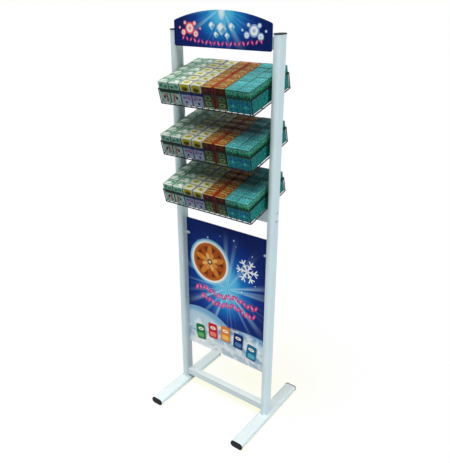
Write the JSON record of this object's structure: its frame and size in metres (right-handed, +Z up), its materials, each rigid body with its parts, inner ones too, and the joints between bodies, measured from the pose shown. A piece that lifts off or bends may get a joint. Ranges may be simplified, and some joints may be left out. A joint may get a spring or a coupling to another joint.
{
  "type": "display stand",
  "caption": "Free-standing display stand: flat-oval tube frame on feet, arched header, sloping wire baskets full of small cartons, and a poster panel below.",
  "frame": {"origin": "on the floor, midway between the two uprights and midway along the feet", "axes": "+Z up; the header, baskets and panel face -Y; +X is the viewer's right when facing the stand"},
  "size_m": [0.452, 0.407, 1.505],
  "materials": {
    "tube_paint": "satin powder coat",
    "black_plug": "moulded",
    "zinc_fastener": "zinc plated",
    "header_print": "printed film on sheet",
    "panel_print": "printed sheet",
    "basket_wire": "bright plated wire",
    "pale_carton": "varnished print",
    "yellow_carton": "varnished print",
    "brown_carton": "varnished print",
    "teal_carton": "varnished print"
  },
  "bodies": {
    "root": {"left_foot": "tube_paint", "right_foot": "tube_paint", "left_upright": "tube_paint", "right_upright": "tube_paint", "left_top_cap": "black_plug", "right_top_cap": "black_plug", "front_left_plug": "black_plug", "front_right_plug": "black_plug", "rear_left_plug": "black_plug", "rear_right_plug": "black_plug", "lower_crossbar": "tube_paint", "middle_rail": "tube_paint", "rail_bolts": "zinc_fastener", "header_panel": "header_print", "header_brackets": "tube_paint", "header_nuts": "zinc_fastener", "lower_panel": "panel_print", "panel_lugs": "tube_paint", "panel_screws": "zinc_fastener", "panel_nuts": "zinc_fastener", "top_basket": "basket_wire", "middle_basket": "basket_wire", "bottom_basket": "basket_wire", "basket_screws": "zinc_fastener", "top_packs_pale": "pale_carton", "top_packs_yellow": "yellow_carton", "top_packs_brown": "brown_carton", "top_packs_teal": "teal_carton", "middle_packs_pale": "pale_carton", "middle_packs_yellow": "yellow_carton", "middle_packs_brown": "brown_carton", "middle_packs_teal": "teal_carton", "bottom_packs_pale": "pale_carton", "bottom_packs_yellow": "yellow_carton", "bottom_packs_brown": "brown_carton", "bottom_packs_teal": "teal_carton"}
  },
  "joints": []
}
